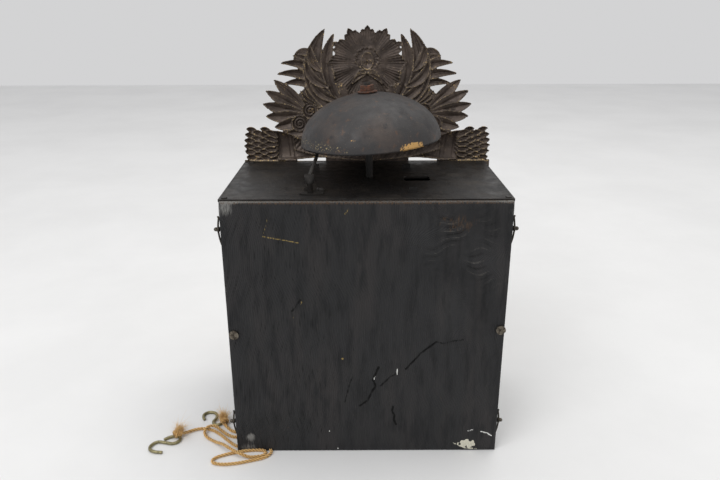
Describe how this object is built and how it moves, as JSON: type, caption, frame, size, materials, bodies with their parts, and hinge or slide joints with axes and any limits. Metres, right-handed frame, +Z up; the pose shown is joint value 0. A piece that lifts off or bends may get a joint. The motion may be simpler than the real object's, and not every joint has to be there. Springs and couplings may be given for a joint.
{
  "type": "comtoise clock",
  "caption": "Comtoise clock movement: iron cage with side doors and wooden back, going and striking trains, bell and hammer, enamel dial under a stamped brass sun pediment, driving ropes.",
  "frame": {"origin": "on the floor, under the middle of the whole clock, front hands stud to rear board screws", "axes": "-Y is where the dial faces, +Y is the wooden back, +X is right for someone who looks at the dial, +Z is up"},
  "size_m": [0.3421, 0.1873, 0.3869],
  "materials": {
    "cage_iron": "dark wrought iron with a worn satin skin",
    "door_iron": "old black paint on sheet iron, rubbed at the edges",
    "latch_iron": "bare forged wire, satin",
    "board_wood": "plain stained softwood, scratched and stained, matt",
    "screw_steel": "old turned steel, satin",
    "enamel": "white fired enamel, glossy",
    "stamped_brass": "stamped brass with a brown-black patina and rubbed edges",
    "stud_iron": "rusty forged iron, matt",
    "bell_metal": "bell metal with a dark grey-brown patina",
    "wheel_brass": "cast brass, file-finished",
    "arbor_steel": "turned and filed steel",
    "drum_iron": "turned iron, dull",
    "hand_brass": "sawn brass, satin",
    "rope_fibre": "three-strand natural fibre rope",
    "hook_iron": "bent iron wire, olive-grey"
  },
  "bodies": {
    "cage": {"back_board": "board_wood", "back_board_screws": "screw_steel", "bell": "bell_metal", "bell_nut_and_washer": "stud_iron", "bell_stud": "stud_iron", "bottom_plate": "cage_iron", "bridge_screws": "screw_steel", "corner_posts": "cage_iron", "dial_plate": "cage_iron", "dial_surround": "stamped_brass", "enamel_dial": "enamel", "front_train_bars": "cage_iron", "going_rope": "rope_fibre", "going_rope_hook": "hook_iron", "going_rope_knot": "rope_fibre", "hammer_bearings": "cage_iron", "hand_collet": "hand_brass", "latch_pins": "latch_iron", "motion_bridge": "arbor_steel", "pediment": "stamped_brass", "rack_guides": "cage_iron", "rear_train_bars": "cage_iron", "strike_rope": "rope_fibre", "strike_rope_hook": "hook_iron", "strike_rope_knot": "rope_fibre", "suspension_cock": "cage_iron", "top_plate": "cage_iron"},
    "right_door": {"right_door": "door_iron"},
    "left_door": {"left_door": "door_iron"},
    "upper_right_latch": {"upper_right_latch": "latch_iron"},
    "lower_right_latch": {"lower_right_latch": "latch_iron"},
    "upper_left_latch": {"upper_left_latch": "latch_iron"},
    "lower_left_latch": {"lower_left_latch": "latch_iron"},
    "going_great": {"going_great_wheel": "wheel_brass", "going_winding_arbor": "arbor_steel", "going_drum": "drum_iron", "going_rope_turns": "rope_fibre"},
    "going_click": {"going_click": "arbor_steel"},
    "minute_arbor": {"minute_arbor": "arbor_steel", "motion_drive_wheel": "wheel_brass"},
    "going_third": {"going_third_arbor": "arbor_steel"},
    "escape": {"escape_wheel": "arbor_steel"},
    "anchor": {"anchor": "arbor_steel", "crutch": "arbor_steel"},
    "cannon": {"cannon_wheel": "wheel_brass", "minute_hand": "hand_brass"},
    "reduction": {"reduction_wheel": "wheel_brass"},
    "hour": {"hour_wheel_and_snail": "wheel_brass", "hour_hand": "hand_brass"},
    "strike_great": {"strike_great_wheel": "wheel_brass", "strike_winding_arbor": "arbor_steel", "strike_drum": "drum_iron", "strike_rope_turns": "rope_fibre"},
    "strike_click": {"strike_click": "arbor_steel"},
    "pin_wheel": {"pin_wheel": "arbor_steel"},
    "gathering": {"gathering_arbor": "arbor_steel"},
    "fly": {"fly": "arbor_steel"},
    "hammer": {"hammer": "arbor_steel"},
    "rack": {"rack": "arbor_steel"},
    "rack_hook": {"rack_hook": "arbor_steel"}
  },
  "joints": [
    {"name": "right_door_hinge", "type": "hinge", "parent": "cage", "child": "right_door", "pos_m": [0.1224, -0.0605, 0.125], "axis": [0, 0, -1], "range_deg": [0, 100]},
    {"name": "left_door_hinge", "type": "hinge", "parent": "cage", "child": "left_door", "pos_m": [-0.1224, -0.0605, 0.125], "axis": [0, 0, 1], "range_deg": [0, 100]},
    {"name": "upper_right_latch_turn", "type": "hinge", "parent": "cage", "child": "upper_right_latch", "pos_m": [0.1263, 0.0709, 0.222], "axis": [1, 0, 0], "range_deg": [0, 90]},
    {"name": "lower_right_latch_turn", "type": "hinge", "parent": "cage", "child": "lower_right_latch", "pos_m": [0.1263, 0.0709, 0.027], "axis": [1, 0, 0], "range_deg": [0, 90]},
    {"name": "upper_left_latch_turn", "type": "hinge", "parent": "cage", "child": "upper_left_latch", "pos_m": [-0.1263, 0.0709, 0.222], "axis": [1, 0, 0], "range_deg": [0, 90]},
    {"name": "lower_left_latch_turn", "type": "hinge", "parent": "cage", "child": "lower_left_latch", "pos_m": [-0.1263, 0.0709, 0.027], "axis": [1, 0, 0], "range_deg": [0, 90]},
    {"name": "going_third_turn", "type": "hinge", "parent": "cage", "child": "going_third", "pos_m": [-0.041, 0.0101, 0.1249], "axis": [0, 1, 0], "continuous": true},
    {"name": "going_great_turn", "type": "hinge", "parent": "cage", "child": "going_great", "pos_m": [-0.041, 0.0101, 0.055], "axis": [0, 1, 0], "continuous": true},
    {"name": "minute_arbor_turn", "type": "hinge", "parent": "cage", "child": "minute_arbor", "pos_m": [-0.041, 0.0101, 0.0979], "axis": [0, 1, 0], "continuous": true},
    {"name": "escape_turn", "type": "hinge", "parent": "cage", "child": "escape", "pos_m": [-0.041, 0.0101, 0.1504], "axis": [0, -1, 0], "continuous": true},
    {"name": "cannon_turn", "type": "hinge", "parent": "cage", "child": "cannon", "pos_m": [0, 0.0101, 0.1275], "axis": [0, 1, 0], "continuous": true},
    {"name": "reduction_turn", "type": "hinge", "parent": "cage", "child": "reduction", "pos_m": [0.03, 0.0101, 0.1275], "axis": [0, 1, 0], "continuous": true},
    {"name": "hour_turn", "type": "hinge", "parent": "cage", "child": "hour", "pos_m": [0, 0.0101, 0.1275], "axis": [0, 1, 0], "continuous": true},
    {"name": "going_click_lift", "type": "hinge", "parent": "going_great", "child": "going_click", "pos_m": [-0.063, -0.0215, 0.0822], "axis": [0, -1, 0], "range_deg": [0, 12]},
    {"name": "anchor_swing", "type": "hinge", "parent": "cage", "child": "anchor", "pos_m": [-0.041, 0.0101, 0.17982], "axis": [0, 1, 0], "range_deg": [-2.5, 2.5]},
    {"name": "gathering_turn", "type": "hinge", "parent": "cage", "child": "gathering", "pos_m": [0.05, 0.0101, 0.1249], "axis": [0, 1, 0], "continuous": true},
    {"name": "strike_great_turn", "type": "hinge", "parent": "cage", "child": "strike_great", "pos_m": [0.05, 0.0101, 0.055], "axis": [0, 1, 0], "continuous": true},
    {"name": "pin_wheel_turn", "type": "hinge", "parent": "cage", "child": "pin_wheel", "pos_m": [0.05, 0.0101, 0.0979], "axis": [0, 1, 0], "continuous": true},
    {"name": "fly_turn", "type": "hinge", "parent": "cage", "child": "fly", "pos_m": [0.05, 0.0101, 0.1489], "axis": [0, -1, 0], "continuous": true},
    {"name": "strike_click_lift", "type": "hinge", "parent": "strike_great", "child": "strike_click", "pos_m": [0.028, -0.0215, 0.0822], "axis": [0, -1, 0], "range_deg": [0, 12]},
    {"name": "hammer_swing", "type": "hinge", "parent": "cage", "child": "hammer", "pos_m": [0.0485, 0.0596, 0.2], "axis": [0, 0, 1], "range_deg": [-25, 1]},
    {"name": "rack_slide", "type": "slide", "parent": "cage", "child": "rack", "axis": [0, 0, 1], "range_m": [-0.0205, 0]},
    {"name": "rack_hook_lift", "type": "hinge", "parent": "cage", "child": "rack_hook", "pos_m": [0.047, -0.0415, 0.1559], "axis": [0, 1, 0], "range_deg": [0, 15]}
  ],
  "couplings": [
    {"joint": "going_third_turn", "follows": "escape_turn", "ratio": 0.13333},
    {"joint": "minute_arbor_turn", "follows": "escape_turn", "ratio": -0.016667},
    {"joint": "going_great_turn", "follows": "escape_turn", "ratio": 0.0013889},
    {"joint": "cannon_turn", "follows": "escape_turn", "ratio": 0.016667},
    {"joint": "reduction_turn", "follows": "escape_turn", "ratio": -0.0055556},
    {"joint": "hour_turn", "follows": "escape_turn", "ratio": 0.0013889},
    {"joint": "gathering_turn", "follows": "fly_turn", "ratio": 0.14286},
    {"joint": "pin_wheel_turn", "follows": "fly_turn", "ratio": -0.017857},
    {"joint": "strike_great_turn", "follows": "fly_turn", "ratio": 0.0014881}
  ]
}
